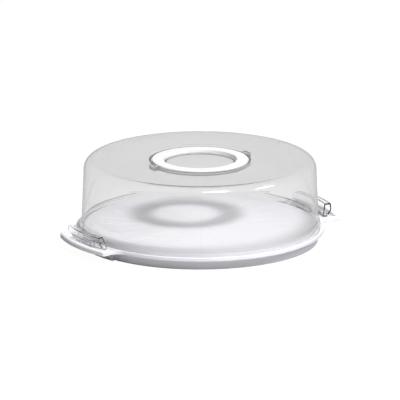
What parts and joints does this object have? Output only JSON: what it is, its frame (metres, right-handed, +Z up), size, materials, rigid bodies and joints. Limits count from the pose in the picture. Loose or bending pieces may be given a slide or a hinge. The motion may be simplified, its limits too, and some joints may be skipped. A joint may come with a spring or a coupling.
{
  "type": "cake carrier",
  "caption": "Round cake carrier: white tray with end wings, clear dome lid that tips open on a clip, swing-out latch clips and a flush folding ring handle.",
  "frame": {"origin": "middle of the tray's foot, on the surface that the carrier stands on", "axes": "+X through the hinge-side wing, clip and handle pivots; +Z up; +Y to the rear"},
  "size_m": [0.381, 0.33, 0.1102],
  "materials": {
    "tray_polypropylene": "satin injection-moulded white polypropylene",
    "clear_styrene": "polished clear styrene plastic",
    "handle_polypropylene": "satin injection-moulded white polypropylene",
    "pin_steel": "bright drawn stainless rod"
  },
  "bodies": {
    "base": {"base_tray": "tray_polypropylene"},
    "lid": {"lid_dome": "clear_styrene"},
    "clip_right": {"clip_right": "clear_styrene", "clip_pin_right": "pin_steel"},
    "clip_left": {"clip_left": "clear_styrene", "clip_pin_left": "pin_steel"},
    "handle_front": {"handle_half_front": "handle_polypropylene", "handle_pin_front_right": "pin_steel", "handle_pin_front_left": "pin_steel"},
    "handle_rear": {"handle_half_rear": "handle_polypropylene", "handle_pin_rear_left": "pin_steel", "handle_pin_rear_right": "pin_steel"}
  },
  "joints": [
    {"name": "lid_hinge", "type": "hinge", "parent": "base", "child": "lid", "pos_m": [0.166, 0, 0.0196], "axis": [0, 1, 0], "range_deg": [0, 58]},
    {"name": "clip_right_swing", "type": "hinge", "parent": "base", "child": "clip_right", "pos_m": [0.1726, 0, 0.0192], "axis": [0, 1, 0], "range_deg": [0, 33]},
    {"name": "clip_left_swing", "type": "hinge", "parent": "base", "child": "clip_left", "pos_m": [-0.1726, 0, 0.0192], "axis": [0, -1, 0], "range_deg": [0, 33]},
    {"name": "handle_front_fold", "type": "hinge", "parent": "lid", "child": "handle_front", "pos_m": [0, -0.004, 0.1079], "axis": [-1, 0, 0], "range_deg": [0, 90]},
    {"name": "handle_rear_fold", "type": "hinge", "parent": "lid", "child": "handle_rear", "pos_m": [0, 0.004, 0.1079], "axis": [1, 0, 0], "range_deg": [0, 90]}
  ]
}
